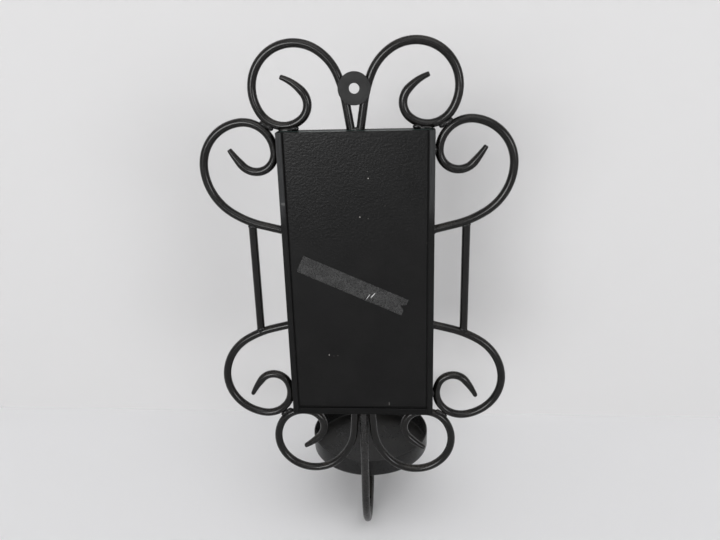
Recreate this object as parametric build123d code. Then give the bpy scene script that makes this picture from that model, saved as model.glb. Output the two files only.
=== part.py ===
from build123d import *
import math
import os

# Wall candle holder: a mirror in a square-bar frame, forged scrolls round it,
# and a J-shaped arm that carries a shallow pan for a candle.
#
# Millimetres, +Z up, and the front faces -Y. The origin is the centre of the
# hanger hole, on the back face of the hanger disc. Left and right are those of
# someone who faces the front.

# Rod and sheet stock
rod_diameter = 6.0
arm_rod_diameter = 6.5
frame_bar = 6.0
sheet = 1.2
weld_gap = 0.1

# Frame, mirror and backing
frame_width = 108.0
frame_height = 217.0
side_lip = 4.5
bottom_lip = 5.5
board_thickness = 3.0
mirror_thickness = 3.0
insert_clearance = 0.4

# Hanger disc
disc_diameter = 22.0
disc_thickness = 2.0
hole_diameter = 7.0
hole_above_frame = 27.5

# Candle cup and its arm
cup_diameter = 106.0
cup_height = 15.5
cup_from_wall = 95.0
cup_outer_fillet = 2.0
cup_inner_fillet = 1.0
arm_drop = 86.5
arm_end_drop = 1.7

# Side bars, from the frame's sides to their axes
side_bar_stand_off = 22.7

# Strip of tape across the back of the board, torn at one end
tape_thickness = 0.12
tape_width = 13.3
tape_length = 83.0
tape_slope = 24.5
tape_tear = 4.0
tape_offset = 4.7
tape_below_top = 110.9

# Scrolls, from the welded tail to the tapered tip. Each starts straight and goes
# on in tangent arcs of (radius, turn in degrees), whose radii are scaled together
# to give the scroll its reach, from its tail to where its ring rests on the frame.
# The ring's inset is that place's distance from the frame's side. The lean is the
# tail's angle to the face of the frame that it is welded to.
top_tail_offset = 3.3
top_ring_inset = 4.6
top_lean = 81.0
top_arcs = [(85.0, 13.0), (35.0, 35.0), (29.5, 157.0), (19.0, 96.0), (13.0, 91.0), (34.0, 30.0)]
upper_reach = 56.75
upper_lean = 76.0
upper_arcs = [(70.0, 19.0), (40.0, 56.0), (31.5, 84.0), (21.0, 98.0), (13.5, 139.0), (100.0, 8.0)]
lower_reach = 57.6
lower_lean = 76.0
lower_arcs = [(75.0, 18.0), (39.5, 50.0), (32.5, 87.0), (19.5, 125.0), (12.0, 117.0), (70.0, 13.0)]
bottom_ring_inset = 6.4
bottom_lean = 86.0
bottom_arcs = [(42.0, 45.0), (28.5, 163.0), (20.5, 73.0), (14.0, 123.0), (68.0, 12.0)]
tip_width = 3.4
tip_depth = 4.6

# Weld beads, and the gaps that they fill between the side scrolls and the others
bead_radius = 2.0
bead_length = 3.0
cup_bead_radius = 1.1
upper_root_gap = 0.8
lower_root_gap = 1.6

# What follows from the sizes above
rod_radius = rod_diameter / 2
arm_radius = arm_rod_diameter / 2
disc_radius = disc_diameter / 2
cup_radius = cup_diameter / 2
half_width = frame_width / 2
frame_top = -hole_above_frame
frame_bottom = frame_top - frame_height
rod_plane = -(disc_thickness + weld_gap + rod_radius)
bar_back = rod_plane + frame_bar / 2
bar_front = rod_plane - frame_bar / 2
mirror_back = bar_back + mirror_thickness
board_back = mirror_back + board_thickness
lip_front = board_back + insert_clearance
wall = lip_front + sheet
cup_centre = wall - cup_from_wall
bend_radius = (rod_plane - cup_centre) / 2
bend_centre = frame_bottom - arm_drop
cup_base = bend_centre - arm_end_drop
side_bar_x = half_width + side_bar_stand_off
bottom_tail_offset = arm_radius + weld_gap + rod_radius
top_reach = half_width - top_ring_inset - top_tail_offset
bottom_reach = half_width - bottom_ring_inset - bottom_tail_offset
upright = (Align.CENTER, Align.CENTER, Align.MIN)
parts = {}

# The sheet that holds every scroll's centreline: local x is +X and local y is +Z
scroll_sheet = Plane(origin=(0, rod_plane, 0), x_dir=(1, 0, 0), z_dir=(0, -1, 0))


def block(x, y, z):
    """A box between two values on each axis."""
    size = [high - low for low, high in (x, y, z)]
    middle = [(high + low) / 2 for low, high in (x, y, z)]
    return Pos(*middle) * Box(*size)


def add_pair(name, shape):
    """A piece on the right side, and its mirror image on the left."""
    parts[name + "_right"] = shape
    parts[name + "_left"] = mirror(shape, about=Plane.YZ)


def direction(angle):
    """A unit vector in the scrolls' sheet."""
    return Vector(math.cos(math.radians(angle)), math.sin(math.radians(angle)))


def arc_chain(point, heading, arcs):
    """Tangent arcs, each starting where the last one ends."""
    edges = []
    for radius, turn in arcs:
        edges.append(JernArc(point, direction(heading), radius, turn))
        point = edges[-1] @ 1
        heading += turn
    return edges


def scroll_path(tail, outward, side, lean, reach, arcs):
    """A scroll's centreline: a straight tail on a face of the frame, then its arcs.

    Outward is the face's normal as an angle. Side is 1 or -1: the way it curls.
    The arcs are scaled, and the tail is made as long, as it takes for the scroll's
    ring to rest on the same face at its reach from the tail.
    """
    heading = outward + side * (90 - lean)
    normal = direction(outward)
    along = direction(outward + side * 90)
    rise = direction(heading).dot(normal)
    drift = direction(heading).dot(along)
    turns = [(radius, side * turn) for radius, turn in arcs]
    unscaled = Wire(arc_chain(Vector(0, 0), heading, turns))
    far = unscaled.bounding_box().diagonal
    below = Line((normal + along) * -far, (along - normal) * far)
    ring = unscaled.closest_points(below)[0]
    lift = rod_radius + weld_gap
    scale = (reach * rise - lift * drift) / (ring.dot(along) * rise - ring.dot(normal) * drift)
    run = (lift - scale * ring.dot(normal)) / rise
    elbow = Vector(*tail) + direction(heading) * run
    scaled = [(radius * scale, turn) for radius, turn in turns]
    return [Edge.make_line(Vector(*tail), elbow), *arc_chain(elbow, heading, scaled)]


def slid(path, slide):
    """A path moved along a vector."""
    return [edge.moved(Location(slide)) for edge in path]


def slide_until_near(fixed, path, toward, gap):
    """Slides a scroll's path until its rod is a small gap away from a fixed one."""
    fixed_wire = Wire(fixed)

    def is_clear(slide):
        return fixed_wire.distance_to(Wire(slid(path, toward * slide))) > rod_diameter + gap

    near = 0.0
    while is_clear(near + rod_diameter) and near < frame_height:
        near += rod_diameter
    far = near + rod_diameter
    while far - near > weld_gap / 100:
        middle = (near + far) / 2
        if is_clear(middle):
            near = middle
        else:
            far = middle
    return slid(path, toward * near)


def scroll_rod(path, outward):
    """The rod along a path: cut flush with the frame's face, and tapered on its last arc."""
    tail, heading = path[0] @ 0, path[0] % 0
    buried = tail - heading * rod_diameter
    body = Wire([Edge.make_line(buried, path[0] @ 1), *path[1:-1]])
    rod = sweep(Plane(buried, z_dir=heading) * Circle(rod_radius), path=body)
    last = path[-1]
    wide = Plane(last @ 0, x_dir=(0, 0, 1), z_dir=last % 0) * Circle(rod_radius)
    narrow = Plane(last @ 1, x_dir=(0, 0, 1), z_dir=last % 1) * Ellipse(tip_depth / 2, tip_width / 2)
    taper = sweep([wide, narrow], path=last, multisection=True)
    face_square = Rectangle(4 * rod_diameter, 4 * rod_diameter)
    inward = Plane(tail, x_dir=(0, 0, 1), z_dir=direction(outward) * -1)
    inside_face = inward * extrude(face_square, amount=2 * rod_diameter)
    return scroll_sheet * (rod + taper - inside_face)


def crossing(path, level_line):
    """Where a path comes nearest to a straight line in the sheet."""
    return Wire(path).closest_points(level_line)[0]


def in_sheet(point, lift=0.0):
    """A point of the sheet in space, lifted towards the wall."""
    return Vector(point.X, rod_plane + lift, point.Y)


def trimmed(shape, *neighbours):
    """The largest piece left of a shape once its neighbours are cut from it."""
    for name in neighbours:
        shape = shape - parts[name]
    return max(shape.solids(), key=lambda solid: solid.volume)


def weld_bead(point, along, length, *neighbours):
    """A bead with round ends on the back of a joint in the sheet, laid along an angle."""
    half = length / 2
    low_end = JernArc((0, -half - bead_radius), (1, 0), bead_radius, 90)
    high_end = JernArc((bead_radius, half), (0, 1), bead_radius, 90)
    outline = [low_end, Line(low_end @ 1, high_end @ 0), high_end, Line(high_end @ 1, low_end @ 0)]
    bead = revolve(Plane.XZ * make_face(outline), Axis.Z)
    axis = in_sheet(direction(along)) - in_sheet(Vector(0, 0))
    return trimmed(Plane(in_sheet(point, bead_radius), z_dir=axis) * bead, *neighbours)


def angle_of(vector):
    """The angle of a vector in the sheet."""
    return math.degrees(math.atan2(vector.Y, vector.X))


def bead_between(path, other, *neighbours):
    """A bead where two paths of the sheet, or a path and a face, come nearest."""
    near, far = Wire(path).closest_points(other)
    middle = (near + far) / 2 if isinstance(other, Wire) else far
    return weld_bead(middle, angle_of(far - near) + 90, bead_length, *neighbours)


# Front frame: four square bars, the level ones over the full width
bar_depth = (bar_front, bar_back)
across = (-half_width, half_width)
parts["frame_bar_top"] = block(across, bar_depth, (frame_top - frame_bar, frame_top))
parts["frame_bar_bottom"] = block(across, bar_depth, (frame_bottom, frame_bottom + frame_bar))
upright_bar = block(
    (half_width - frame_bar, half_width), bar_depth, (frame_bottom + frame_bar, frame_top - frame_bar)
)
add_pair("frame_bar", upright_bar)

# Retaining angles behind the bars: a web in line with the bar, and a lip at the back
web_half_width = half_width - sheet
lip_half_width = half_width - side_lip
full_height = (frame_bottom, frame_top)
lip_depth = (lip_front, wall)
side_web = block((web_half_width, half_width), (bar_back, wall), full_height)
side_lip_strip = block((lip_half_width, half_width), lip_depth, full_height)
add_pair("retaining_angle", side_web + side_lip_strip)
bottom_web = block(
    (-web_half_width, web_half_width), (bar_back, lip_front), (frame_bottom, frame_bottom + sheet)
)
bottom_lip_strip = block(
    (-lip_half_width, lip_half_width), lip_depth, (frame_bottom, frame_bottom + bottom_lip)
)
parts["retaining_angle_bottom"] = bottom_web + bottom_lip_strip

# Mirror against the bars, and backing board against the mirror
insert_half_width = web_half_width - insert_clearance
insert_across = (-insert_half_width, insert_half_width)
insert_height = (frame_bottom + sheet, frame_top)
parts["mirror"] = block(insert_across, (bar_back, mirror_back), insert_height)
parts["backing_board"] = block(insert_across, (mirror_back, board_back), insert_height)

# Tape on the back of the board, with a notch where it was torn
tape_end = tape_length / 2
tape_edge = tape_width / 2
tape_outline = Polyline(
    (tape_end, tape_edge),
    (tape_end, -tape_edge),
    (-tape_end, -tape_edge),
    (-tape_end, -tape_edge / 3),
    (-tape_end + tape_tear, 0),
    (-tape_end, tape_edge / 3),
    (-tape_end, tape_edge),
    close=True,
)
tape_place = Plane(
    origin=(tape_offset, board_back, frame_top - tape_below_top), x_dir=(1, 0, 0), z_dir=(0, -1, 0)
)
tape_face = tape_place * Rot(0, 0, tape_slope) * make_face(tape_outline)
parts["tape_strip"] = extrude(tape_face, amount=tape_thickness, dir=(0, 1, 0))

# Scrolls of the right side. The top and bottom ones stand on the level bars, and
# the side ones slide along the upright bar until they come near those.
middle_height = (frame_top + frame_bottom) / 2
top_tail = (top_tail_offset, frame_top)
side_tail = (half_width, middle_height)
bottom_tail = (bottom_tail_offset, frame_bottom)
top_path = scroll_path(top_tail, 90, -1, top_lean, top_reach, top_arcs)
bottom_path = scroll_path(bottom_tail, -90, 1, bottom_lean, bottom_reach, bottom_arcs)
upper_start = scroll_path(side_tail, 0, 1, upper_lean, upper_reach, upper_arcs)
lower_start = scroll_path(side_tail, 0, -1, lower_lean, lower_reach, lower_arcs)
upper_path = slide_until_near(top_path, upper_start, Vector(0, 1), upper_root_gap)
lower_path = slide_until_near(bottom_path, lower_start, Vector(0, -1), lower_root_gap)
add_pair("top_scroll", scroll_rod(top_path, 90))
add_pair("bottom_scroll", scroll_rod(bottom_path, -90))
add_pair("upper_side_scroll", scroll_rod(upper_path, 0))
add_pair("lower_side_scroll", scroll_rod(lower_path, 0))

# Side bars: plumb rods, coped to the tails of the side scrolls above and below
plumb = Line((side_bar_x, frame_top), (side_bar_x, frame_bottom))
bar_top = crossing(upper_path[:3], plumb)
bar_bottom = crossing(lower_path[:3], plumb)
side_rod = Pos(*in_sheet(bar_bottom)) * Cylinder(rod_radius, bar_top.Y - bar_bottom.Y, align=upright)
add_pair("side_bar", trimmed(side_rod, "upper_side_scroll_right", "lower_side_scroll_right"))

# Hanger disc, on the backs of the two top scrolls
disc = Cylinder(disc_radius, disc_thickness) - Cylinder(hole_diameter / 2, disc_thickness)
parts["hanger_disc"] = Pos(0, -disc_thickness / 2, 0) * Rot(90, 0, 0) * disc

# Candle cup: a flat pan, a little rounded underneath
pan = Cylinder(cup_radius, cup_height, align=upright)
pan = fillet(pan.edges().sort_by(Axis.Z)[0], cup_outer_fillet)
hollow = Pos(0, 0, sheet) * Cylinder(cup_radius - sheet, cup_height, align=upright)
hollow = fillet(hollow.edges().sort_by(Axis.Z)[0], cup_inner_fillet)
parts["candle_cup"] = Pos(0, cup_centre, cup_base) * (pan - hollow)

# Arm: plumb from the bottom bar, then a half turn forward and up to the cup
arm_top = Vector(0, rod_plane, frame_bottom)
bend_start = Vector(0, rod_plane, bend_centre)
bend_low = Vector(0, rod_plane - bend_radius, bend_centre - bend_radius)
bend_end = Vector(0, cup_centre, bend_centre)
arm_path = Wire([Edge.make_line(arm_top, bend_start), ThreePointArc(bend_start, bend_low, bend_end)])
arm = sweep(Plane(arm_top, z_dir=(0, 0, -1)) * Circle(arm_radius), path=arm_path)
above_cup_base = Pos(0, cup_centre, cup_base) * Box(cup_radius, cup_radius, cup_radius, align=upright)
parts["cup_arm"] = arm - above_cup_base

# Weld beads of the right side, on the backs of the joints
top_face = Line((0, frame_top), (half_width, frame_top))
bottom_face = Line((0, frame_bottom), (half_width, frame_bottom))
side_face = Line((half_width, frame_top), (half_width, frame_bottom))
top_neighbours = ("frame_bar_top", "mirror", "top_scroll_right", "top_scroll_left")
bottom_neighbours = (
    "frame_bar_bottom",
    "mirror",
    "retaining_angle_bottom",
    "bottom_scroll_right",
    "bottom_scroll_left",
    "cup_arm",
)
top_ring_bead = bead_between(top_path[2:], top_face, *top_neighbours)
bottom_ring_bead = bead_between(bottom_path[2:], bottom_face, *bottom_neighbours)
side_beads = [
    bead_between(top_path, Wire(upper_path), "top_scroll_right", "upper_side_scroll_right"),
    bead_between(bottom_path, Wire(lower_path), "bottom_scroll_right", "lower_side_scroll_right"),
]
for name, path, bar_end in (("upper", upper_path, bar_top), ("lower", lower_path, bar_bottom)):
    scroll = f"{name}_side_scroll_right"
    ring_bead = bead_between(path[2:], side_face, scroll, "frame_bar_right", "retaining_angle_right")
    tail_bead = weld_bead(path[0] @ 0, 90, bead_length, scroll, "frame_bar_right", "retaining_angle_right")
    butt = bar_end + (Vector(side_bar_x, middle_height) - bar_end).normalized() * rod_radius
    butt_bead = weld_bead(butt, angle_of(path[0] % 0), bead_length, scroll, "side_bar_right")
    side_beads += [ring_bead, tail_bead, butt_bead]
add_pair("weld_beads_side", Compound(side_beads))

# Weld beads of the level bars, with one bead across each group of tails
top_tails_bead = weld_bead(Vector(0, frame_top), 0, 2 * top_tail_offset, *top_neighbours)
bottom_tails_bead = weld_bead(Vector(0, frame_bottom), 0, 2 * bottom_tail_offset, *bottom_neighbours)
parts["weld_beads_top"] = Compound(
    [top_tails_bead, top_ring_bead, mirror(top_ring_bead, about=Plane.YZ)]
)
parts["weld_beads_bottom"] = Compound(
    [bottom_tails_bead, bottom_ring_bead, mirror(bottom_ring_bead, about=Plane.YZ)]
)

# Weld beads of the disc, where each rod leaves its rim, and of the cup, round the arm
rod_beside_hole = crossing(top_path[:3], Line((0, 0), (half_width, 0))).X
rim_height = math.sqrt(disc_radius**2 - rod_beside_hole**2)
disc_beads = []
for level in (-rim_height, rim_height):
    on_rod = crossing(top_path[:3], Line((0, level), (half_width, level)))
    bead = weld_bead(on_rod, 0, bead_length, "top_scroll_right", "hanger_disc")
    disc_beads += [bead, mirror(bead, about=Plane.YZ)]
parts["weld_beads_disc"] = Compound(disc_beads)
ring = Pos(0, cup_centre, cup_base) * Torus(arm_radius, cup_bead_radius)
parts["weld_bead_cup"] = trimmed(ring, "cup_arm", "candle_cup")

os.makedirs("parts", exist_ok=True)
for name, shape in parts.items():
    export_step(shape, f"parts/{name}.step")
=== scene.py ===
import bmesh
import bpy
import math
import numpy as np
from mathutils import Matrix, Vector, noise as space_noise


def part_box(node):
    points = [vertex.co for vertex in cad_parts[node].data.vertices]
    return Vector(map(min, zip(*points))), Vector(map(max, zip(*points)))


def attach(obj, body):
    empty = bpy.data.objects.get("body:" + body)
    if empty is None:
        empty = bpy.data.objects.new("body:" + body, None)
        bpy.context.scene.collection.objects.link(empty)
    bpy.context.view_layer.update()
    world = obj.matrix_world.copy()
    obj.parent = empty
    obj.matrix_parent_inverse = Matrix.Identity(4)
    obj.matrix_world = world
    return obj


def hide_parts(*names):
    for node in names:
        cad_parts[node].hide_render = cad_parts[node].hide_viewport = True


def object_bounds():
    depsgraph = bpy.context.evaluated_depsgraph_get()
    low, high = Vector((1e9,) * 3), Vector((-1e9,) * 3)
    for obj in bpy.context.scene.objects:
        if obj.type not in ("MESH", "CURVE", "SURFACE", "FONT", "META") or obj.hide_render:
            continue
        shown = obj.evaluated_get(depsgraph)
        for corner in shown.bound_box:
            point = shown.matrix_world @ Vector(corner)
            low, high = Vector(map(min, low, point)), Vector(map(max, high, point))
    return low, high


# Wall candle holder, seen from behind. Metres, +Z up, and the front faces -Y, so
# the camera stands on the +Y side. Right is right as seen from the room, with positive x.
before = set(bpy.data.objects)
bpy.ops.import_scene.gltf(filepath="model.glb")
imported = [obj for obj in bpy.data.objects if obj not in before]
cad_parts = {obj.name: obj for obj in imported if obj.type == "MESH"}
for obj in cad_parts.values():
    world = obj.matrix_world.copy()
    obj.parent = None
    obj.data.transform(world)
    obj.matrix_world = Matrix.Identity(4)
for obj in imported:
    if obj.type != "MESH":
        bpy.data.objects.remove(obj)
cad_low, cad_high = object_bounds()
mm = 0.001

# Rod stock, and the sheet that holds the middle of every scroll
rod_radius = 3.0 * mm
arm_radius = 3.25 * mm
weld_gap = 0.1 * mm
rod_plane = -5.1 * mm
step = 0.6 * mm
tip_width = 3.4 / 6.0
tip_depth = 4.6 / 6.0
tip_easing = 0.2 * mm
tip_end = 0.82
buried = 1.5 * mm
arm_into_floor = 0.4 * mm

# Front frame, and the faces that the scrolls stand on
frame_bar = 6.0 * mm
half_width = 54.0 * mm
frame_top = -27.5 * mm
frame_bottom = -244.5 * mm
side_bar_x = 76.7 * mm
board_back = 3.9 * mm
lip_width = 4.5 * mm
foot_lip_height = 5.5 * mm
lip_edge = half_width - lip_width
lip_foot = frame_bottom + foot_lip_height
frame_easing = 0.5 * mm
lip_easing = 0.25 * mm
insert_easing = 0.3 * mm

# Leather grain of the board, the band of painted shade on it along the lips, the painted shade
# on the inner edge of the lips, and the levels between which their paint is worn grey
grain_size = 1.55 * mm
wrinkle_size = 1.1 * mm
grain_depth = 0.05 * mm
shade_band_start = 1.4 * mm
shade_band_full = 0.6 * mm
edge_shade_start = 1.0 * mm
edge_shade_full = 0.5 * mm
rub_start = -90 * mm
rub_full = -72 * mm

# Scrolls of the right side: the face's normal, the way the scroll curls, its lean,
# its reach, where its tail stands, and its arcs as (radius in mm, turn in degrees)
scrolls = {
    "top_scroll": (90, -1, 81.0, 46.1 * mm, (3.3 * mm, frame_top),
                   [(85.0, 13.0), (35.0, 35.0), (29.5, 157.0), (19.0, 96.0), (13.0, 91.0), (34.0, 30.0)]),
    "upper_side_scroll": (0, 1, 76.0, 56.75 * mm, (half_width, 0.0),
                          [(70.0, 19.0), (40.0, 56.0), (31.5, 84.0), (21.0, 98.0), (13.5, 139.0),
                           (100.0, 8.0)]),
    "lower_side_scroll": (0, -1, 76.0, 57.6 * mm, (half_width, 0.0),
                          [(75.0, 18.0), (39.5, 50.0), (32.5, 87.0), (19.5, 125.0), (12.0, 117.0),
                           (70.0, 13.0)]),
    "bottom_scroll": (-90, 1, 86.0, 41.25 * mm, (6.35 * mm, frame_bottom),
                      [(42.0, 45.0), (28.5, 163.0), (20.5, 73.0), (14.0, 123.0), (68.0, 12.0)]),
}

# Hanger disc and candle cup
disc_radius = 11.0 * mm
disc_thickness = 2.0 * mm
hole_radius = 3.5 * mm
cup_radius = 53.0 * mm
cup_height = 15.5 * mm
cup_wall = 1.2 * mm
cup_centre = -89.5 * mm
cup_base = -332.7 * mm
bend_centre = -331.0 * mm
bend_radius = 42.2 * mm
cup_foot_round = 2.0 * mm
cup_rim_round = 0.55 * mm
cup_floor_round = 1.0 * mm
disc_round = 0.3 * mm
disc_front_round = 0.35 * mm

# Strip of tape
tape_length = 83.0 * mm
tape_width = 13.3 * mm
tape_slope = 24.5
tape_middle = (4.7 * mm, -138.4 * mm)
tape_thickness = 0.1 * mm
tape_tear = 4.0 * mm
tape_lift = 0.1 * mm
tape_lift_size = 4.0 * mm
tape_clearance = 0.01 * mm

# Marks on the back, as (x, z, half width, half height, lean in degrees) in mm
bright_specks = [(-8.3, -59.6, 0.45, 0.4, 0), (-1.9, -86.9, 0.45, 0.45, 0), (24.1, -194.2, 0.35, 0.6, 0)]
faint_marks = [(-7.9, -54.9, 0.35, 0.35, 0), (-19.6, -79.1, 0.35, 0.35, 0), (-7.7, -88.1, 0.5, 0.4, 0),
               (-48.7, -106.3, 0.35, 0.35, 0), (17.6, -194.7, 0.4, 0.5, 0), (20.6, -195.1, 0.3, 0.5, 0),
               (-20.7, -235.8, 0.5, 2.0, 0)]
tape_scratches = [(-6.5, -146.8, 0.3, 3.2, 36), (-10.0, -145.8, 0.4, 3.7, 42)]
lip_scuffs = [(51.2, -76.7, 2.6, 1.3, 4), (-49.3, -221.5, 0.45, 2.8, 0)]

# Weld beads
bead_radius = 1.8 * mm
bead_length = 2.6 * mm
bead_lift = 1.6 * mm
corner_bead_stretch = 1.4
corner_bead_shift = 0.4
bar_bead_lean = 14.0
tail_beads = {"top": 6.6 * mm, "bottom": 12.7 * mm}
leg_points = 200
disc_bead_levels = (-8.2 * mm, 8.4 * mm)
disc_bead_radius = 1.1 * mm
disc_bead_length = 1.2 * mm
disc_bead_inset = 0.4 * mm
collar_beads = 10
collar_radius = 4.0 * mm
collar_bead_radius = 1.4 * mm
collar_drop = 0.9 * mm

# Beads that join a scroll's ring to the frame's bar: how far in from the ring's nearest
# place, how far off the bar's face, and the length in bead lengths
ring_beads = [(7.0 * mm, 1.4 * mm, 1.2), (1.5 * mm, 0.4 * mm, 2.6)]


# Node trees

def new_tree(name, kind, takes, gives):
    """A node group with named inputs and outputs, and its two end nodes."""
    tree = bpy.data.node_groups.new(name, kind)
    for label, socket_type, value in takes:
        socket = tree.interface.new_socket(label, in_out="INPUT", socket_type=socket_type)
        if value is not None:
            socket.default_value = value
    for label, socket_type in gives:
        tree.interface.new_socket(label, in_out="OUTPUT", socket_type=socket_type)
    return tree, tree.nodes.new("NodeGroupInput").outputs, tree.nodes.new("NodeGroupOutput").inputs


def node(tree, kind, inputs=None, **settings):
    """Adds a node, sets it up, and links or fills its inputs by name or number."""
    made = tree.nodes.new(kind)
    for key, value in settings.items():
        setattr(made, key, value)
    for key, value in (inputs or {}).items():
        if isinstance(value, bpy.types.NodeSocket):
            tree.links.new(value, made.inputs[key])
        else:
            made.inputs[key].default_value = value
    return made


def math_node(tree, operation, *values):
    """A Math node on one, two or three values."""
    return node(tree, "ShaderNodeMath", dict(enumerate(values)), operation=operation).outputs[0]


def vector_node(tree, operation, *values):
    """A Vector Math node."""
    return node(tree, "ShaderNodeVectorMath", dict(enumerate(values)), operation=operation).outputs[0]


def stretched(tree, vector, factor):
    """A vector times a number."""
    return node(tree, "ShaderNodeVectorMath", {0: vector, "Scale": factor}, operation="SCALE").outputs[0]


def parts(tree, vector):
    """A vector's three numbers."""
    return node(tree, "ShaderNodeSeparateXYZ", {0: vector}).outputs


def named_value(tree, name):
    """A number that the mesh keeps on its points under a name."""
    return node(tree, "GeometryNodeInputNamedAttribute", {"Name": name}, data_type="FLOAT").outputs[0]


def remap(tree, value, low, high, to_low=0.0, to_high=1.0):
    """Maps a value smoothly from one range to another."""
    inputs = {"Value": value, "From Min": low, "From Max": high, "To Min": to_low, "To Max": to_high}
    return node(tree, "ShaderNodeMapRange", inputs, interpolation_type="SMOOTHSTEP").outputs[0]


def blend(tree, amount, first, second):
    """A mix of two colours."""
    made = node(tree, "ShaderNodeMix", data_type="RGBA", blend_type="MIX")
    for socket, value in ((made.inputs["Factor"], amount), (made.inputs[6], first), (made.inputs[7], second)):
        if isinstance(value, bpy.types.NodeSocket):
            tree.links.new(value, socket)
        else:
            socket.default_value = value
    return made.outputs[2]


def noise(tree, place, size, detail=3.0, roughness=0.5, distortion=0.0):
    """Noise whose lumps are about a given size across, in metres."""
    inputs = {"Vector": place, "Scale": 1 / size, "Detail": detail, "Roughness": roughness,
              "Distortion": distortion}
    return node(tree, "ShaderNodeTexNoise", inputs).outputs[0]


def marks(tree, place, spots):
    """A mask of small ragged marks on the object's back."""
    mask = 0.0
    ragged = math_node(tree, "MULTIPLY", noise(tree, place, 0.7 * mm), 0.9)
    for x, z, half_wide, half_high, lean in spots:
        from_middle = vector_node(tree, "SUBTRACT", place, (x * mm, 0.0, z * mm))
        turned_back = node(tree, "ShaderNodeVectorRotate",
                           {"Vector": from_middle, "Angle": math.radians(lean)},
                           rotation_type="Y_AXIS").outputs[0]
        in_halves = (1 / (half_wide * mm), 0.0, 1 / (half_high * mm))
        squeezed = vector_node(tree, "MULTIPLY", turned_back, in_halves)
        away = node(tree, "ShaderNodeVectorMath", {0: squeezed}, operation="LENGTH").outputs["Value"]
        spot = remap(tree, math_node(tree, "ADD", away, ragged), 1.4, 0.95)
        mask = math_node(tree, "MAXIMUM", mask, spot)
    return mask


def grey(value, warmth=0.0):
    """A near-neutral colour, a little warm or cool."""
    return (value * (1 + warmth), value, value * (1 - warmth), 1.0)


# Meshes

def add_object(name, mesh):
    """An object in the scene, made from a mesh, a lamp or a camera."""
    made = bpy.data.objects.new(name, mesh)
    bpy.context.scene.collection.objects.link(made)
    return made


def plain_mesh(name, source):
    """Turns an object with live modifiers into one with a plain mesh of the same shape."""
    bpy.context.view_layer.update()
    depsgraph = bpy.context.evaluated_depsgraph_get()
    mesh = bpy.data.meshes.new_from_object(source.evaluated_get(depsgraph))
    mesh.name = name
    bpy.data.objects.remove(source)
    return add_object(name, mesh)


def run_tree(name, mesh, tree, **values):
    """Runs a Geometry Nodes tree on a mesh, with its named inputs set, and keeps the result."""
    source = add_object(name + "_source", mesh)
    modifier = source.modifiers.new("shape", "NODES")
    modifier.node_group = tree
    sockets = {item.name: item.identifier for item in tree.interface.items_tree if item.in_out == "INPUT"}
    for label, value in values.items():
        modifier[sockets[label.replace("_", " ")]] = value
    return plain_mesh(name, source)


def give(piece, slot, *nodes):
    """Makes a piece ride on the one body and stand for its CAD nodes, which it hides. The slot is not used.
    """
    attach(piece, "root")
    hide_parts(*nodes)


def eased(name, mesh, edge, finish):
    """Rounds the edges of a hard mesh."""
    source = add_object(name + "_source", mesh)
    bevel = source.modifiers.new("edges", "BEVEL")
    bevel.width = edge
    bevel.segments = 3
    bevel.limit_method = "ANGLE"
    bevel.harden_normals = True
    for face in mesh.polygons:
        face.use_smooth = True
    mesh.materials.append(finish)
    return plain_mesh(name, source)


def cad_copy(name):
    """A merged copy of a CAD node's mesh, with its flat faces whole."""
    copied = bmesh.new()
    copied.from_mesh(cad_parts[name].data)
    bmesh.ops.remove_doubles(copied, verts=copied.verts, dist=0.001 * mm)
    bmesh.ops.dissolve_limit(copied, angle_limit=math.radians(1), verts=copied.verts, edges=copied.edges)
    points = [vertex.co[:] for vertex in copied.verts]
    faces = [[vertex.index for vertex in face.verts] for face in copied.faces]
    copied.free()
    mesh = bpy.data.meshes.new(name + "_copy")
    mesh.from_pydata(points, [], faces)
    return mesh


# Routes of the rods, as numpy arrays of (x, z)

def heading_vector(degrees):
    """The unit vector (x, z) at an angle from +X towards +Z."""
    return np.array([math.cos(math.radians(degrees)), math.sin(math.radians(degrees))])


def arc_points(start, heading, radius, turn):
    """Points along an arc, after its start."""
    count = max(3, math.ceil(radius * math.radians(abs(turn)) / step))
    side = math.copysign(radius, turn)
    angles = np.radians(heading + turn * np.linspace(0, 1, count + 1))
    around = side * np.stack([np.sin(angles), -np.cos(angles)], axis=1)
    return start + (around - around[0])[1:]


def arc_chain(start, heading, arcs):
    """Points along tangent arcs, in one list for each arc."""
    runs = []
    for radius, turn in arcs:
        runs.append(arc_points(start, heading, radius, turn))
        start = runs[-1][-1]
        heading += turn
    return runs


def straight(start, end):
    """Points along a straight run, its ends among them."""
    count = max(2, math.ceil(np.linalg.norm(end - start) / step))
    return np.linspace(start, end, count + 1)


def scroll_route(outward, side, lean, reach, tail, arcs):
    """A scroll's route, with the thickness factors (in the sheet, across it) at each point."""
    heading = outward + side * (90 - lean)
    normal, along = heading_vector(outward), heading_vector(outward + side * 90)
    rise, drift = heading_vector(heading) @ normal, heading_vector(heading) @ along
    turns = [(radius * mm, side * turn) for radius, turn in arcs]
    unscaled = np.concatenate(arc_chain(np.zeros(2), heading, turns))
    ring = unscaled[np.argmin(unscaled @ normal)]
    lift = rod_radius + weld_gap
    scale = (reach * rise - lift * drift) / (ring @ along * rise - ring @ normal * drift)
    run = (lift - scale * (ring @ normal)) / rise
    tail = np.array(tail)
    elbow = tail + heading_vector(heading) * run
    runs = arc_chain(elbow, heading, [(radius * scale, turn) for radius, turn in turns])
    points = np.concatenate([straight(tail - heading_vector(heading) * buried, elbow), *runs])
    taper = np.zeros(len(points))
    taper[-len(runs[-1]):] = np.linspace(0, 1, len(runs[-1]))
    return points, taper


def slid_to_cad(route, name, end):
    """Slides a side scroll's route along z until it ends where its CAD node does."""
    low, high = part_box(name)
    if end == "top":
        shift = high[2] - rod_radius - route[:, 1].max()
    else:
        shift = low[2] + rod_radius - route[:, 1].min()
    return route + np.array([0.0, shift])


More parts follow.
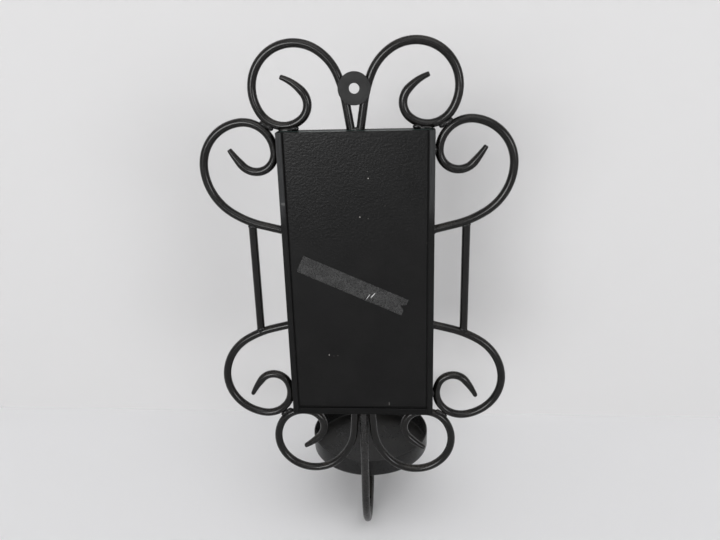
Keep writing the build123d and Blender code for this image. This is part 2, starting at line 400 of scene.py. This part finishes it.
def route_mesh(name, points, taper):
    """A line of edges along a route, with the rod's thickness on its points."""
    mesh = bpy.data.meshes.new(name)
    places = [(x, rod_plane, z) for x, z in points]
    mesh.from_pydata(places, [(i, i + 1) for i in range(len(places) - 1)], [])
    to_end = np.linalg.norm(points - points[-1], axis=1)
    closing = tip_end + (1 - tip_end) * to_end / tip_easing
    easing = np.where(to_end < tip_easing, closing, 1.0) if taper.any() else 1.0
    for label, tip in (("in the sheet", tip_width), ("across the sheet", tip_depth)):
        factors = (1 + (tip - 1) * taper) * easing
        mesh.attributes.new(label, "FLOAT", "POINT").data.foreach_set("value", factors.astype(np.float32))
    return mesh


def rod_tree():
    """A rod along a path: round, tapered by the path's own factors, and a little uneven."""
    tree, taken, given = new_tree(
        "Rod along a path", "GeometryNodeTree",
        [("Path", "NodeSocketGeometry", None), ("Radius", "NodeSocketFloat", rod_radius),
         ("Sides", "NodeSocketInt", 32), ("Unevenness", "NodeSocketFloat", 0.05 * mm),
         ("Dent size", "NodeSocketFloat", 9.0 * mm), ("Seed", "NodeSocketFloat", 0.0),
         ("Finish", "NodeSocketMaterial", None)],
        [("Rod", "NodeSocketGeometry")])
    curve = node(tree, "GeometryNodeMeshToCurve", {"Mesh": taken["Path"]}).outputs[0]
    place = node(tree, "GeometryNodeInputPosition").outputs[0]
    kept = tree.nodes.new("GeometryNodeCaptureAttribute")
    kept.capture_items.new("VECTOR", "Middle")
    tree.links.new(curve, kept.inputs["Geometry"])
    tree.links.new(place, kept.inputs["Middle"])
    circle = node(tree, "GeometryNodeCurvePrimitiveCircle",
                  {"Resolution": taken["Sides"], "Radius": taken["Radius"]}).outputs[0]
    tube = node(tree, "GeometryNodeCurveToMesh",
                {"Curve": kept.outputs["Geometry"], "Profile Curve": circle, "Fill Caps": True}).outputs[0]
    in_sheet = named_value(tree, "in the sheet")
    across = named_value(tree, "across the sheet")
    factors = node(tree, "ShaderNodeCombineXYZ", {"X": in_sheet, "Y": across, "Z": in_sheet}).outputs[0]
    outward = vector_node(tree, "SUBTRACT", place, kept.outputs["Middle"])
    shaped = vector_node(tree, "MULTIPLY", outward, factors)
    frequency = math_node(tree, "DIVIDE", 1.0, taken["Dent size"])
    lumps = node(tree, "ShaderNodeTexNoise",
                 {"Vector": place, "W": taken["Seed"], "Scale": frequency, "Detail": 2.0},
                 noise_dimensions="4D").outputs[0]
    swell = math_node(tree, "MULTIPLY", math_node(tree, "SUBTRACT", lumps, 1.0), taken["Unevenness"])
    outward_unit = vector_node(tree, "NORMALIZE", outward)
    moved = vector_node(tree, "ADD", vector_node(tree, "ADD", kept.outputs["Middle"], shaped),
                        stretched(tree, outward_unit, swell))
    set_place = node(tree, "GeometryNodeSetPosition", {"Geometry": tube, "Position": moved}).outputs[0]
    smooth = node(tree, "GeometryNodeSetShadeSmooth", {"Geometry": set_place}).outputs[0]
    whole = node(tree, "GeometryNodeRealizeInstances", {"Geometry": smooth}).outputs[0]
    finished = node(tree, "GeometryNodeSetMaterial",
                    {"Geometry": whole, "Material": taken["Finish"]}).outputs[0]
    tree.links.new(finished, given["Rod"])
    return tree


def bead_tree():
    """A weld bead at each point: an uneven lump with ripples across it."""
    tree, taken, given = new_tree(
        "Weld beads at joints", "GeometryNodeTree",
        [("Joints", "NodeSocketGeometry", None), ("Radius", "NodeSocketFloat", bead_radius),
         ("Flatness", "NodeSocketFloat", 0.9), ("Ripple pitch", "NodeSocketFloat", 1.0 * mm),
         ("Ripple depth", "NodeSocketFloat", 0.07 * mm), ("Lumpiness", "NodeSocketFloat", 0.45 * mm),
         ("Lump size", "NodeSocketFloat", 2.2 * mm), ("Finish", "NodeSocketMaterial", None)],
        [("Beads", "NodeSocketGeometry")])
    ball = node(tree, "GeometryNodeMeshUVSphere", {"Segments": 40, "Rings": 28, "Radius": 1.0}).outputs[0]
    place = node(tree, "GeometryNodeInputPosition").outputs[0]
    kept = tree.nodes.new("GeometryNodeCaptureAttribute")
    kept.capture_items.new("VECTOR", "Spot")
    tree.links.new(ball, kept.inputs["Geometry"])
    tree.links.new(place, kept.inputs["Spot"])
    angle = named_value(tree, "angle")
    length = named_value(tree, "half length")
    turned = node(tree, "ShaderNodeCombineXYZ", {"Y": angle}).outputs[0]
    rotation = node(tree, "FunctionNodeEulerToRotation", {0: turned}).outputs[0]
    deep = math_node(tree, "MULTIPLY", taken["Radius"], taken["Flatness"])
    size = node(tree, "ShaderNodeCombineXYZ", {"X": length, "Y": deep, "Z": taken["Radius"]}).outputs[0]
    placed = node(tree, "GeometryNodeInstanceOnPoints",
                  {"Points": taken["Joints"], "Instance": kept.outputs["Geometry"], "Rotation": rotation,
                   "Scale": size}).outputs[0]
    whole = node(tree, "GeometryNodeRealizeInstances", {"Geometry": placed}).outputs[0]
    lengthwise = parts(tree, kept.outputs["Spot"])[0]
    phase = math_node(tree, "DIVIDE", math_node(tree, "MULTIPLY", lengthwise, length), taken["Ripple pitch"])
    wave = math_node(tree, "SINE", math_node(tree, "MULTIPLY", phase, 2 * math.pi))
    ripple = math_node(tree, "MULTIPLY", wave, taken["Ripple depth"])
    frequency = math_node(tree, "DIVIDE", 1.0, taken["Lump size"])
    lumps = node(tree, "ShaderNodeTexNoise", {"Vector": place, "Scale": frequency, "Detail": 3.0}).outputs[0]
    swell = math_node(tree, "MULTIPLY", math_node(tree, "SUBTRACT", lumps, 0.5), taken["Lumpiness"])
    push = math_node(tree, "ADD", ripple, swell)
    normal = node(tree, "GeometryNodeInputNormal").outputs[0]
    shaped = node(tree, "GeometryNodeSetPosition",
                  {"Geometry": whole, "Offset": stretched(tree, normal, push)}).outputs[0]
    smooth = node(tree, "GeometryNodeSetShadeSmooth", {"Geometry": shaped}).outputs[0]
    finished = node(tree, "GeometryNodeSetMaterial",
                    {"Geometry": smooth, "Material": taken["Finish"]}).outputs[0]
    tree.links.new(finished, given["Beads"])
    return tree


# Shader groups

def paint_group():
    """Sprayed paint on steel: orange peel, mottling, and dust on what faces up."""
    tree, taken, given = new_tree(
        "Sprayed paint", "ShaderNodeTree",
        [("Colour", "NodeSocketColor", grey(0.01)), ("Dust", "NodeSocketColor", grey(0.04, 0.16)),
         ("Dust amount", "NodeSocketFloat", 0.3), ("Roughness", "NodeSocketFloat", 0.35),
         ("Peel size", "NodeSocketFloat", 0.7 * mm)],
        [("Colour", "NodeSocketColor"), ("Roughness", "NodeSocketFloat"), ("Height", "NodeSocketFloat")])
    place = node(tree, "ShaderNodeTexCoord").outputs["Object"]
    cloud = noise(tree, place, 14 * mm, 4.0)
    fine = noise(tree, place, 1.6 * mm, 3.0)
    up = parts(tree, node(tree, "ShaderNodeNewGeometry").outputs["Normal"])[2]
    facing_up = remap(tree, up, 0.1, 0.9)
    patches = remap(tree, math_node(tree, "ADD", cloud, math_node(tree, "MULTIPLY", fine, 0.35)), 0.55, 0.85)
    dusty = math_node(tree, "MULTIPLY", math_node(tree, "MULTIPLY", facing_up, patches), taken["Dust amount"])
    mottle = remap(tree, cloud, 0.3, 0.7, 0.8, 1.25)
    mottled = node(tree, "ShaderNodeHueSaturation", {"Value": mottle, "Color": taken["Colour"]}).outputs[0]
    tree.links.new(blend(tree, dusty, mottled, taken["Dust"]), given["Colour"])
    rough = math_node(tree, "ADD", taken["Roughness"], remap(tree, fine, 0.3, 0.7, -0.04, 0.06))
    tree.links.new(math_node(tree, "ADD", rough, math_node(tree, "MULTIPLY", dusty, 0.3)), given["Roughness"])
    frequency = math_node(tree, "DIVIDE", 1.0, taken["Peel size"])
    peel = node(tree, "ShaderNodeTexNoise", {"Vector": place, "Scale": frequency, "Detail": 2.0}).outputs[0]
    tree.links.new(peel, given["Height"])
    return tree


def new_material(name):
    """A material with its Principled shader, and the shader's node tree."""
    made = bpy.data.materials.new(name)
    made.use_nodes = True
    tree = made.node_tree
    return made, tree, tree.nodes["Principled BSDF"].inputs


def bump_into(tree, shader, height, strength, distance):
    """Lets a height bend the shader's normal."""
    made = node(tree, "ShaderNodeBump", {"Height": height, "Strength": strength, "Distance": distance})
    tree.links.new(made.outputs[0], shader["Normal"])


sprayed = paint_group()


def paint(name, colour, gloss, roughness, dust, peel_size, peel_depth):
    """Painted steel. The last two are the size and depth of the orange peel."""
    made, tree, shader = new_material(name)
    shader["Specular IOR Level"].default_value = gloss
    surface = node(tree, "ShaderNodeGroup", node_tree=sprayed)
    surface.inputs["Colour"].default_value = colour
    surface.inputs["Roughness"].default_value = roughness
    surface.inputs["Dust amount"].default_value = dust
    surface.inputs["Peel size"].default_value = peel_size
    tree.links.new(surface.outputs["Colour"], shader["Base Color"])
    tree.links.new(surface.outputs["Roughness"], shader["Roughness"])
    bump_into(tree, shader, surface.outputs["Height"], 1.0, peel_depth)
    return made


rod_paint = paint("Satin black paint on rod", grey(0.003, 0.1), 0.28, 0.21, 0.3, 0.8 * mm, 0.0015 * mm)
frame_paint = paint("Satin black paint on the frame", grey(0.003), 0.13, 0.45, 0.2, 0.7 * mm, 0.006 * mm)
# The arm has a lighter, glossier copy of the rods' paint: its lighter colour is painted highlight, for the
# broad soft highlight on the arm.
arm_paint = paint("Satin black paint on the arm", grey(0.006, 0.05), 0.42, 0.28, 0.3, 0.8 * mm, 0.0015 * mm)
disc_paint = paint("Matt grey paint on the disc", grey(0.0145), 0.2, 0.55, 0.2, 0.5 * mm, 0.006 * mm)
cup_paint = paint("Satin black paint on the cup", grey(0.004), 0.28, 0.3, 0.12, 0.9 * mm, 0.003 * mm)
bead_paint = paint("Paint over the weld beads", grey(0.003), 0.26, 0.22, 0.4, 0.5 * mm, 0.006 * mm)


def lip_finish():
    """Paint on the retaining angles, worn grey towards the top, with scuffs and painted shade on the inner
    edge.
    """
    made = frame_paint.copy()
    made.name = "Rubbed black paint on the retaining angles"
    tree = made.node_tree
    shader = tree.nodes["Principled BSDF"].inputs
    painted = shader["Base Color"].links[0].from_socket
    place = node(tree, "ShaderNodeTexCoord").outputs["Object"]
    apart = parts(tree, place)
    waver = math_node(tree, "MULTIPLY", noise(tree, place, 3 * mm), 8 * mm)
    rubbed_and_shaded = remap(tree, math_node(tree, "ADD", apart[2], waver), rub_start, rub_full)
    drawn_down = vector_node(tree, "MULTIPLY", place, (1.0, 1.0, 0.06))
    streaks = remap(tree, noise(tree, drawn_down, 0.9 * mm), 0.3, 0.7, 0.6, 1.0)
    worn = blend(tree, math_node(tree, "MULTIPLY", rubbed_and_shaded, streaks), painted, grey(0.027, -0.03))
    scuffed = math_node(tree, "MULTIPLY", marks(tree, place, lip_scuffs), 0.35)
    marked = blend(tree, scuffed, worn, grey(0.16))
    from_middle = math_node(tree, "ABSOLUTE", apart[0])
    # Painted shade: the inner edge of each lip is darkened where the step down to the board lies in shade.
    edge_shade = remap(tree, from_middle, lip_edge + edge_shade_start, lip_edge + edge_shade_full)
    tree.links.new(blend(tree, edge_shade, marked, grey(0.001)), shader["Base Color"])
    return made


def board_finish():
    """Black fibre board with an embossed leather grain, pale specks, and painted shade in a band along the
    lips.
    """
    made, tree, shader = new_material("Leather-grained board with painted shade along the lips")
    place = node(tree, "ShaderNodeTexCoord").outputs["Object"]
    warp = node(tree, "ShaderNodeTexNoise",
                {"Vector": place, "Scale": 1 / (3.0 * mm), "Detail": 2.0}).outputs["Color"]
    bent = vector_node(tree, "ADD", place, stretched(tree, warp, 0.8 * mm))
    drawn_out = vector_node(tree, "MULTIPLY", bent, (0.9, 1.0, 1.1))
    cells = node(tree, "ShaderNodeTexVoronoi", {"Vector": drawn_out, "Scale": 1 / grain_size},
                 feature="SMOOTH_F1").outputs["Distance"]
    domes = remap(tree, cells, 0.75, 0.05)
    wrinkles = noise(tree, drawn_out, wrinkle_size, 2.0, 0.5, 0.4)
    pebble = math_node(tree, "ADD", domes, math_node(tree, "MULTIPLY", wrinkles, 0.9))
    cloud = noise(tree, place, 30 * mm, 4.0)
    black = blend(tree, remap(tree, cloud, 0.3, 0.7), grey(0.0015), grey(0.003))
    apart = parts(tree, place)
    from_middle = math_node(tree, "ABSOLUTE", apart[0])
    # Painted shade: the board is darkened, and made rougher, in a band along the side and bottom lips, where
    # they shade it.
    side_shade_band = remap(tree, from_middle, lip_edge - shade_band_start, lip_edge - shade_band_full)
    foot_shade_band = remap(tree, apart[2], lip_foot + shade_band_start, lip_foot + shade_band_full)
    shade_band = math_node(tree, "MAXIMUM", side_shade_band, foot_shade_band)
    rubbed_and_shaded = blend(tree, shade_band, black, grey(0.001))
    faint = math_node(tree, "MULTIPLY", marks(tree, place, faint_marks), 0.1)
    bright = math_node(tree, "MULTIPLY", marks(tree, place, bright_specks), 0.6)
    specks = math_node(tree, "MAXIMUM", bright, faint)
    tree.links.new(blend(tree, specks, rubbed_and_shaded, grey(0.7, 0.05)), shader["Base Color"])
    shader["Specular IOR Level"].default_value = 0.18
    tree.links.new(remap(tree, shade_band, 0.0, 1.0, 0.32, 0.8), shader["Roughness"])
    bump_into(tree, shader, pebble, 1.0, grain_depth)
    return made


def tape_finish():
    """Clear tape gone cloudy, with air under it."""
    made, tree, shader = new_material("Clouded tape")
    place = node(tree, "ShaderNodeTexCoord").outputs["Object"]
    fine = noise(tree, place, 1.3 * mm, 3.0, 0.6)
    blots = noise(tree, place, 6.0 * mm, 3.0)
    air = remap(tree, math_node(tree, "ADD", fine, math_node(tree, "MULTIPLY", blots, 0.6)), 0.55, 1.05)
    film = blend(tree, air, grey(0.018), grey(0.036))
    scratched = marks(tree, place, tape_scratches)
    tree.links.new(blend(tree, scratched, film, grey(0.5)), shader["Base Color"])
    cloudy = remap(tree, air, 0.0, 1.0, 0.7, 0.92)
    tree.links.new(math_node(tree, "MAXIMUM", cloudy, scratched), shader["Alpha"])
    shader["Specular IOR Level"].default_value = 0.3
    shader["Roughness"].default_value = 0.4
    bump_into(tree, shader, fine, 0.6, 0.05 * mm)
    return made


def mirror_finish():
    """Silvered glass: bright in front, grey paint on its back, green at its edges."""
    made, tree, shader = new_material("Silvered glass")
    facing = parts(tree, node(tree, "ShaderNodeNewGeometry").outputs["Normal"])[1]
    front = remap(tree, facing, -0.9, -0.95)
    back = remap(tree, facing, 0.9, 0.95)
    edge_or_back = blend(tree, back, (0.02, 0.04, 0.035, 1.0), grey(0.12, -0.05))
    tree.links.new(blend(tree, front, edge_or_back, (0.86, 0.88, 0.87, 1.0)), shader["Base Color"])
    tree.links.new(front, shader["Metallic"])
    tree.links.new(remap(tree, front, 0.0, 1.0, 0.5, 0.02), shader["Roughness"])
    return made


lip_paint = lip_finish()
board_grain = board_finish()
clouded_tape = tape_finish()
silvered_glass = mirror_finish()

# Scroll rods, side bars and arm
routes = {kind: scroll_route(*values) for kind, values in scrolls.items()}
for kind, end in (("upper_side_scroll", "top"), ("lower_side_scroll", "bottom")):
    points, taper = routes[kind]
    routes[kind] = (slid_to_cad(points, kind + "_right", end), taper)
rod = rod_tree()


def level_of(points, x):
    """Where a route first reaches a given x, as its z."""
    first = int(np.argmax(points[:, 0] >= x))
    before, after = points[first - 1], points[first]
    return before[1] + (after[1] - before[1]) * (x - before[0]) / (after[0] - before[0])


bar_top = level_of(routes["upper_side_scroll"][0], side_bar_x)
bar_bottom = level_of(routes["lower_side_scroll"][0], side_bar_x)
bar_route = straight(np.array([side_bar_x, bar_top]), np.array([side_bar_x, bar_bottom]))
routes["side_bar"] = (bar_route, np.zeros(len(bar_route)))
for number, (kind, (points, taper)) in enumerate(routes.items()):
    for side, label in ((1, "right"), (-1, "left")):
        name = f"{kind}_{label}"
        mesh = route_mesh(name + "_path", points * np.array([side, 1]), taper)
        piece = run_tree(name + "_rod", mesh, rod, Seed=2.0 * number + side, Finish=rod_paint)
        give(piece, "rod_paint", name)

arm_down = straight(np.array([rod_plane, frame_bottom + buried]), np.array([rod_plane, bend_centre]))
arm_bend = arc_points(np.array([rod_plane, bend_centre]), -90, bend_radius, -180)
in_cup_floor = cup_base + arm_into_floor
arm_bend = arm_bend[(arm_bend[:, 0] > cup_centre / 2) | (arm_bend[:, 1] < in_cup_floor)]
arm_points = np.concatenate([arm_down, arm_bend])
arm_edges = [(i, i + 1) for i in range(len(arm_points) - 1)]
arm_mesh = bpy.data.meshes.new("cup_arm_path")
arm_mesh.from_pydata([(0.0, y, z) for y, z in arm_points], arm_edges, [])
for label in ("in the sheet", "across the sheet"):
    arm_mesh.attributes.new(label, "FLOAT", "POINT").data.foreach_set("value", [1.0] * len(arm_points))
arm = run_tree("cup_arm_rod", arm_mesh, rod, Radius=arm_radius, Seed=40.0, Finish=arm_paint)
give(arm, "rod_paint", "cup_arm")


# Front frame, in one ring with its corners ground flush

def ring_mesh():
    """The four square bars as one welded ring."""
    corners = []
    for inset in (0.0, frame_bar):
        x, low, high = half_width - inset, frame_bottom + inset, frame_top - inset
        corners += [(-x, low), (x, low), (x, high), (-x, high)]
    front, back = rod_plane - frame_bar / 2, rod_plane + frame_bar / 2
    points = [(x, y, z) for y in (front, back) for x, z in corners]
    faces = []
    for i in range(4):
        j = (i + 1) % 4
        faces += [(i, j, 4 + j, 4 + i), (8 + j, 8 + i, 12 + i, 12 + j), (j, i, 8 + i, 8 + j),
                  (4 + i, 4 + j, 12 + j, 12 + i)]
    mesh = bpy.data.meshes.new("front_frame")
    mesh.from_pydata(points, [], faces)
    return mesh


front_frame = eased("front_frame", ring_mesh(), frame_easing, frame_paint)
give(front_frame, "frame_paint", "frame_bar_top", "frame_bar_bottom", "frame_bar_left", "frame_bar_right")
for name in ("retaining_angle_left", "retaining_angle_right", "retaining_angle_bottom"):
    give(eased(name + "_strip", cad_copy(name), lip_easing, lip_paint), "frame_paint", name)
board = eased("backing_board_slab", cad_copy("backing_board"), insert_easing, board_grain)
give(board, "board", "backing_board")
pane = eased("mirror_pane", cad_copy("mirror"), insert_easing, silvered_glass)
give(pane, "mirror_glass", "mirror")


# Turned pieces

def turned(name, outline, matrix, finish, sides=160):
    """Spins an outline of (radius, height) round the Z axis, then places it."""
    shape = bmesh.new()
    rings = []
    for radius, height in outline:
        if radius < 0.01 * mm:
            rings.append([shape.verts.new((0.0, 0.0, height))])
            continue
        angles = np.linspace(0, 2 * math.pi, sides, endpoint=False)
        rings.append([shape.verts.new((radius * math.cos(a), radius * math.sin(a), height)) for a in angles])
    pairs = list(zip(rings, rings[1:]))
    if len(rings[0]) > 1:
        pairs.append((rings[-1], rings[0]))
    for first, second in pairs:
        for i in range(sides):
            j = (i + 1) % sides
            spots = ((first, i), (first, j), (second, j), (second, i))
            around = [ring[k % len(ring)] for ring, k in spots]
            shape.faces.new(list(dict.fromkeys(around)))
    bmesh.ops.recalc_face_normals(shape, faces=shape.faces)
    bmesh.ops.transform(shape, matrix=matrix, verts=shape.verts)
    mesh = bpy.data.meshes.new(name)
    shape.to_mesh(mesh)
    shape.free()
    for face in mesh.polygons:
        face.use_smooth = True
    mesh.materials.append(finish)
    return add_object(name, mesh)


def rounded(corner, before, after, radius, count=5):
    """Points of an arc that rounds a right-angled corner."""
    corner, before, after = (np.array(point) for point in (corner, before, after))
    to_before = (before - corner) / np.linalg.norm(before - corner)
    to_after = (after - corner) / np.linalg.norm(after - corner)
    centre = corner + (to_before + to_after) * radius
    angles = np.linspace(0, math.pi / 2, count)
    spokes = [to_after * math.cos(a) + to_before * math.sin(a) for a in angles]
    return [tuple(centre - radius * spoke) for spoke in spokes]


def rounded_outline(corners):
    """An outline whose corners are each rounded by their own radius."""
    outline = []
    for i, (corner, radius) in enumerate(corners):
        if radius == 0:
            outline.append(corner)
            continue
        outline += rounded(corner, corners[i - 1][0], corners[(i + 1) % len(corners)][0], radius)
    return outline


inside = cup_radius - cup_wall
cup_outline = rounded_outline([
    ((0.0, 0.0), 0), ((cup_radius, 0.0), cup_foot_round), ((cup_radius, cup_height), cup_rim_round),
    ((inside, cup_height), cup_rim_round), ((inside, cup_wall), cup_floor_round), ((0.0, cup_wall), 0)])
cup = turned("candle_cup_pan", cup_outline, Matrix.Translation((0, cup_centre, cup_base)), cup_paint)
give(cup, "cup_paint", "candle_cup")
disc_outline = rounded_outline([
    ((hole_radius, 0.0), disc_round), ((disc_radius, 0.0), disc_round),
    ((disc_radius, disc_thickness), disc_front_round), ((hole_radius, disc_thickness), disc_round)])
upright = Matrix.Rotation(math.radians(90), 4, "X")
disc = turned("hanger_disc_plate", disc_outline, upright, disc_paint, 96)
give(disc, "disc_paint", "hanger_disc")


# Tape

def tape_mesh():
    """A sheet with the tape's outline, torn at one end, and lifted here and there by air."""
    columns, rows = 166, 27
    turn = Matrix.Rotation(math.radians(-tape_slope), 3, "Y")
    middle = Vector((tape_middle[0], board_back, tape_middle[1]))
    points, faces = [], []
    for i in range(columns):
        for j in range(rows):
            v = -tape_width / 2 + tape_width * j / (rows - 1)
            tear = max(0.0, 1 - abs(v) / (tape_width / 6)) * tape_tear
            u = -tape_length / 2 + tear + (tape_length - tear) * i / (columns - 1)
            lift = tape_lift * max(0.0, space_noise.noise(Vector((u, v, 0.0)) / tape_lift_size))
            points.append(middle + turn @ Vector((u, tape_clearance + lift, v)))
    for i in range(columns - 1):
        for j in range(rows - 1):
            a = i * rows + j
            faces.append((a, a + 1, a + rows + 1, a + rows))
    mesh = bpy.data.meshes.new("tape")
    mesh.from_pydata([point[:] for point in points], [], faces)
    mesh.materials.append(clouded_tape)
    for face in mesh.polygons:
        face.use_smooth = True
    return mesh


sheet = add_object("tape_sheet", tape_mesh())
film = sheet.modifiers.new("film", "SOLIDIFY")
film.thickness = tape_thickness
film.offset = 1.0
give(plain_mesh("tape_film", sheet), "tape", "tape_strip")


# Weld beads

def nearest(first, second):
    """The two places where two routes come nearest."""
    gaps = np.linalg.norm(first[:, None] - second[None], axis=2)
    i, j = np.unravel_index(np.argmin(gaps), gaps.shape)
    return first[i], second[j]


def joint_between(first, second):
    """The middle of the narrowest place between two routes, and the slant of a bead in it."""
    near, far = nearest(first, second)
    across = far - near
    return (near + far) / 2, math.degrees(math.atan2(across[1], across[0])) + 90


paths = {kind: points for kind, (points, taper) in routes.items()}
right_joints = []
for end_kind, side_kind, end, bar_end, toward in (
        ("top_scroll", "upper_side_scroll", frame_top, bar_top, -1),
        ("bottom_scroll", "lower_side_scroll", frame_bottom, bar_bottom, 1)):
    side_path = paths[side_kind]
    between, slant = joint_between(paths[end_kind], side_path)
    corner = np.array([half_width, end])
    ring = side_path[len(side_path) // 2:]
    ring_place = ring[np.argmin(ring[:, 0])]
    right_joints += [
        (between, slant, corner_bead_stretch * bead_length),
        (between + corner_bead_shift * (corner - between), slant, bead_length),
        (np.array([half_width, ring_place[1]]), 90.0, bead_length),
        (np.array([half_width, level_of(side_path, half_width)]), 90.0, bead_length),
        (np.array([side_bar_x, bar_end + toward * rod_radius]), -toward * bar_bead_lean, bead_length)]


def bead_piece(name, joints, node_name, radius=bead_radius, depths=None):
    """One piece for the beads of a CAD node."""
    mesh = bpy.data.meshes.new(name + "_joints")
    depths = depths or [rod_plane + bead_lift] * len(joints)
    mesh.from_pydata([(x, y, z) for ((x, z), angle, length), y in zip(joints, depths)], [], [])
    turns = [-math.radians(angle) for place, angle, length in joints]
    halves = [length / 2 + radius for place, angle, length in joints]
    mesh.attributes.new("angle", "FLOAT", "POINT").data.foreach_set("value", turns)
    mesh.attributes.new("half length", "FLOAT", "POINT").data.foreach_set("value", halves)
    give(run_tree(name, mesh, beads, Radius=radius, Finish=bead_paint), "rod_paint", node_name)


def mirrored(joints):
    """The same joints on the left."""
    return [(place * np.array([-1, 1]), 180 - angle, length) for place, angle, length in joints]


beads = bead_tree()
bead_piece("side_beads_right", right_joints, "weld_beads_side_right")
bead_piece("side_beads_left", mirrored(right_joints), "weld_beads_side_left")
for label, face, kind, outside in (("top", frame_top, "top_scroll", 1),
                                   ("bottom", frame_bottom, "bottom_scroll", -1)):
    ring = paths[kind][len(paths[kind]) // 2:]
    ring_place = ring[np.argmin(np.abs(ring[:, 1] - face))]
    ring_joints = [(np.array([ring_place[0] - inward, face + outside * off]), 0.0, stretch * bead_length)
                   for inward, off, stretch in ring_beads]
    joints = [(np.array([0.0, face]), 0.0, tail_beads[label]), *ring_joints, *mirrored(ring_joints)]
    bead_piece(f"{label}_beads", joints, f"weld_beads_{label}")
leg = paths["top_scroll"][:leg_points]
rim_joints = []
for level in disc_bead_levels:
    on_leg = leg[np.argmin(np.abs(leg[:, 1] - level))]
    rim_joints.append((np.array([on_leg[0] - disc_bead_inset, level]), 0.0, disc_bead_length))
bead_piece("disc_beads", rim_joints + mirrored(rim_joints), "weld_beads_disc", disc_bead_radius)
collar_angles = np.linspace(0, 2 * math.pi, collar_beads, endpoint=False)
collar = [(collar_radius * math.cos(a), collar_radius * math.sin(a)) for a in collar_angles]
bead_piece("cup_collar_bead", [(np.array([x, cup_base - collar_drop]), 0.0, 0.0) for x, y in collar],
           "weld_bead_cup", collar_bead_radius, [cup_centre + y for x, y in collar])

# Stage: a plain pale floor, and a backdrop that can be seen from its front only
stage_reach = 6.0
wall_front = -212.5 * mm
wall_turn = 0.007
floor_colour = (0.85, 0.85, 0.86, 1.0)
backdrop_colour = (0.53, 0.527, 0.53, 1.0)
world_light = (0.4, 0.4, 0.4, 1.0)
world_seen = (0.6, 0.6, 0.61, 1.0)


def flat_stage(name, corners, finish):
    """A flat sheet of four corners that belongs to the stage."""
    mesh = bpy.data.meshes.new(name)
    mesh.from_pydata(corners, [], [(0, 1, 2, 3)])
    mesh.materials.append(finish)
    add_object(name, mesh)


def stage_finish(name, colour, one_sided):
    """Plain matt card. One-sided card lets everything through from behind."""
    made, tree, shader = new_material(name)
    shader["Base Color"].default_value = colour
    shader["Roughness"].default_value = 0.9
    if one_sided:
        clear = node(tree, "ShaderNodeBsdfTransparent")
        behind = node(tree, "ShaderNodeNewGeometry").outputs["Backfacing"]
        principled = tree.nodes["Principled BSDF"].outputs[0]
        mixed = node(tree, "ShaderNodeMixShader", {0: behind, 1: principled, 2: clear.outputs[0]})
        tree.links.new(mixed.outputs[0], tree.nodes["Material Output"].inputs["Surface"])
    return made


low = cad_low[2]
left_end = (stage_reach, wall_front - stage_reach * wall_turn)
right_end = (-stage_reach, wall_front + stage_reach * wall_turn)
floor_corners = [(-stage_reach, -stage_reach, low), (stage_reach, -stage_reach, low),
                 (stage_reach, stage_reach, low), (-stage_reach, stage_reach, low)]
wall_corners = [(*left_end, low), (*right_end, low), (*right_end, stage_reach), (*left_end, stage_reach)]
flat_stage("floor", floor_corners, stage_finish("Pale floor", floor_colour, False))
flat_stage("backdrop", wall_corners, stage_finish("Pale backdrop", backdrop_colour, True))

# World, which looks a little brighter than it lights, and four soft lights
world = bpy.data.worlds.new("Studio")
bpy.context.scene.world = world
world.use_nodes = True
sky = world.node_tree
background = sky.nodes["Background"]
path = node(sky, "ShaderNodeLightPath").outputs
seen = math_node(sky, "MAXIMUM", path["Is Camera Ray"],
                 math_node(sky, "MAXIMUM", path["Is Glossy Ray"], path["Is Transmission Ray"]))
sky.links.new(blend(sky, seen, world_light, world_seen), background.inputs["Color"])
background.inputs["Strength"].default_value = 1.0


def soft_light(name, strength, spread, azimuth, elevation):
    """A distant round light. Its angles are in degrees, and azimuth 0 is the object's +Y side."""
    lamp = bpy.data.lights.new(name, "SUN")
    lamp.energy = strength
    lamp.angle = math.radians(spread)
    turn, rise = math.radians(azimuth), math.radians(elevation)
    toward = Vector((math.sin(turn) * math.cos(rise), math.cos(turn) * math.cos(rise), math.sin(rise)))
    made = add_object(name, lamp)
    made.rotation_mode = "QUATERNION"
    made.rotation_quaternion = toward.to_track_quat("Z", "Y")


soft_light("high_light", 0.8, 50, -14, 50)
soft_light("left_light", 2.2, 28, 20, 3)
soft_light("right_light", 1.0, 22, -38, 3)
soft_light("front_fill", 0.4, 60, 150, 35)

# Camera, level with the top of the object and behind it
camera_place = Vector((-0.034, 0.46058, 0.03623))
yaw, pitch, roll = 0.07227, 0.34091, -0.02779
camera = bpy.data.cameras.new("camera")
camera.sensor_width = 36.0
camera.lens = 33.778
camera_object = add_object("camera", camera)
ahead = Vector((math.sin(yaw) * math.cos(pitch), -math.cos(yaw) * math.cos(pitch), -math.sin(pitch)))
level = Vector((-math.cos(yaw), -math.sin(yaw), 0.0))
above = level.cross(ahead)
right_hand = math.cos(roll) * level + math.sin(roll) * above
top_side = -math.sin(roll) * level + math.cos(roll) * above
axes = Matrix((right_hand, top_side, -ahead)).transposed().to_4x4()
camera_object.matrix_world = Matrix.Translation(camera_place) @ axes
bpy.context.scene.camera = camera_object
bpy.context.scene.view_settings.view_transform = "Standard"
